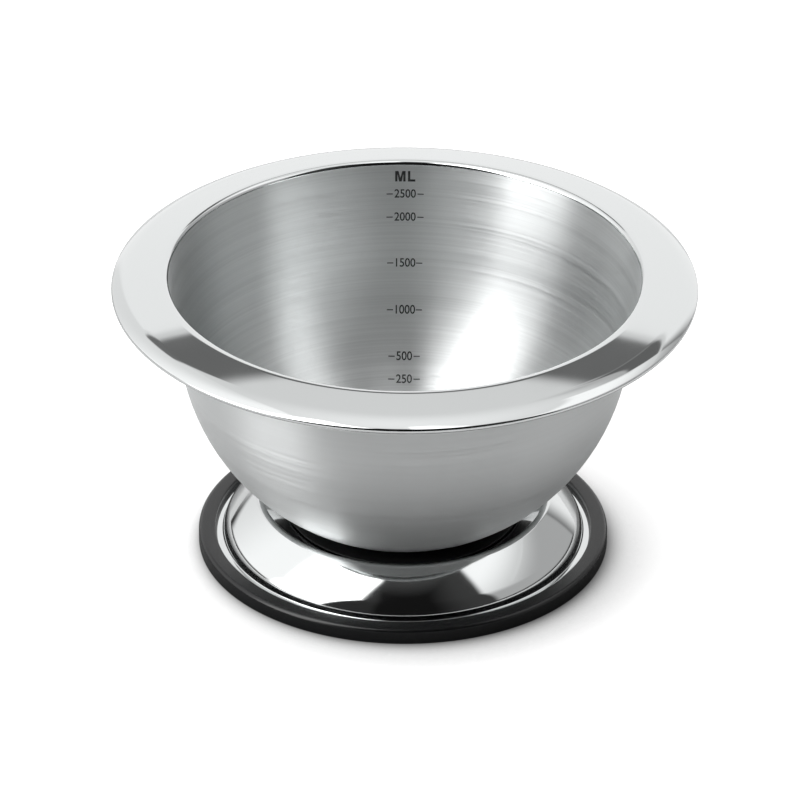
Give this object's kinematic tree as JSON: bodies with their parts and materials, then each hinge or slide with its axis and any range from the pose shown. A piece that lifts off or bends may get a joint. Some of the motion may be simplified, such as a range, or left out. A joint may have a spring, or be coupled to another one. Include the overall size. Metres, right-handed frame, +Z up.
{
  "type": "mixing bowl with stand",
  "caption": "Round steel mixing bowl with a broad polished rim and millilitre marks inside, sitting loose in a low ring stand with a silicone seat and a rubber anti-slip ring.",
  "frame": {"origin": "on the table, under the bowl's axis, at the underside of the anti-slip ring", "axes": "+Z up along the bowl's axis; the front is -Y and the marked inside wall is at +Y"},
  "size_m": [0.2676, 0.2676, 0.1403],
  "materials": {
    "brushed_stainless": "brushed round inside and out, with the rim polished",
    "polished_stainless": "mirror polished",
    "black_silicone": "moulded, matt",
    "black_rubber": "moulded, matt"
  },
  "bodies": {
    "stand": {"stand_shell": "polished_stainless", "anti_slip_ring": "black_rubber"},
    "seat": {"seat_ring": "black_silicone"},
    "bowl": {"bowl": "brushed_stainless"}
  },
  "joints": [
    {"name": "bowl_turn", "type": "hinge", "parent": "stand", "child": "seat", "pos_m": [0, 0, 0.0146], "axis": [0, 0, 1], "continuous": true},
    {"name": "bowl_lift", "type": "slide", "parent": "seat", "child": "bowl", "axis": [0, 0, 1], "range_m": [0, 0.15]}
  ]
}
